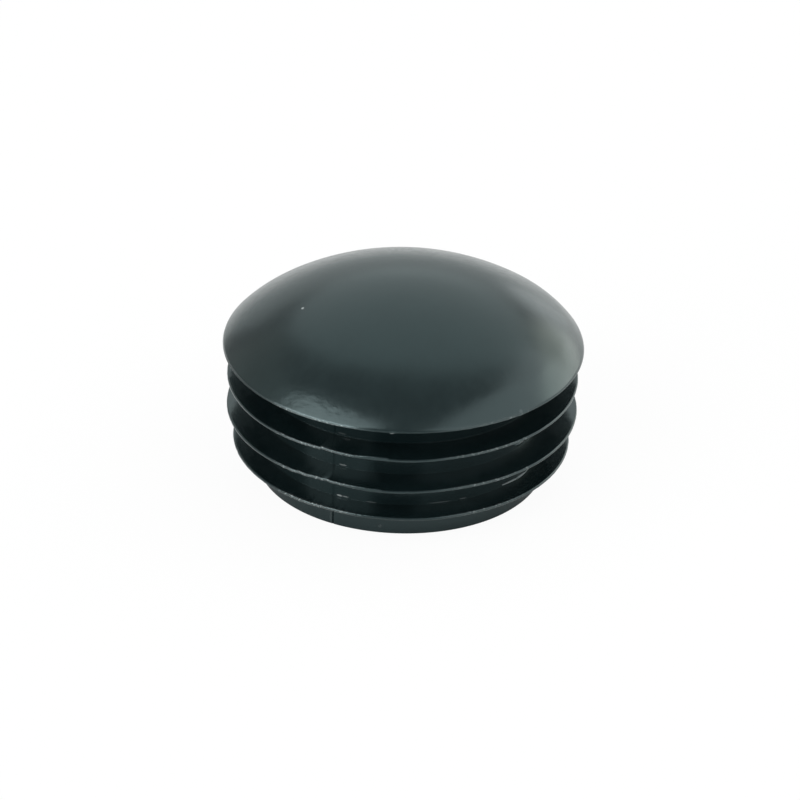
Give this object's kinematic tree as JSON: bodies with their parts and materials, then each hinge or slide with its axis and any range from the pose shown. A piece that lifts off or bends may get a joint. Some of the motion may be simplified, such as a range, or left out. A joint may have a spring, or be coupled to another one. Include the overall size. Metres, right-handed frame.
{
  "type": "tube end cap",
  "caption": "Round domed end cap for a tube: a shallow dome on a hollow body ringed with thin flexible fins that grip inside the tube's open end.",
  "frame": {"origin": "centre of the open rim, on the plane that the cap stands on", "axes": "+Z along the cap's axis, from the open rim up to the top of the dome; the cap is round, so X and Y are free"},
  "size_m": [0.03, 0.03, 0.0173],
  "materials": {
    "black_plastic": "satin"
  },
  "bodies": {
    "root": {"end_cap": "black_plastic"}
  },
  "joints": []
}
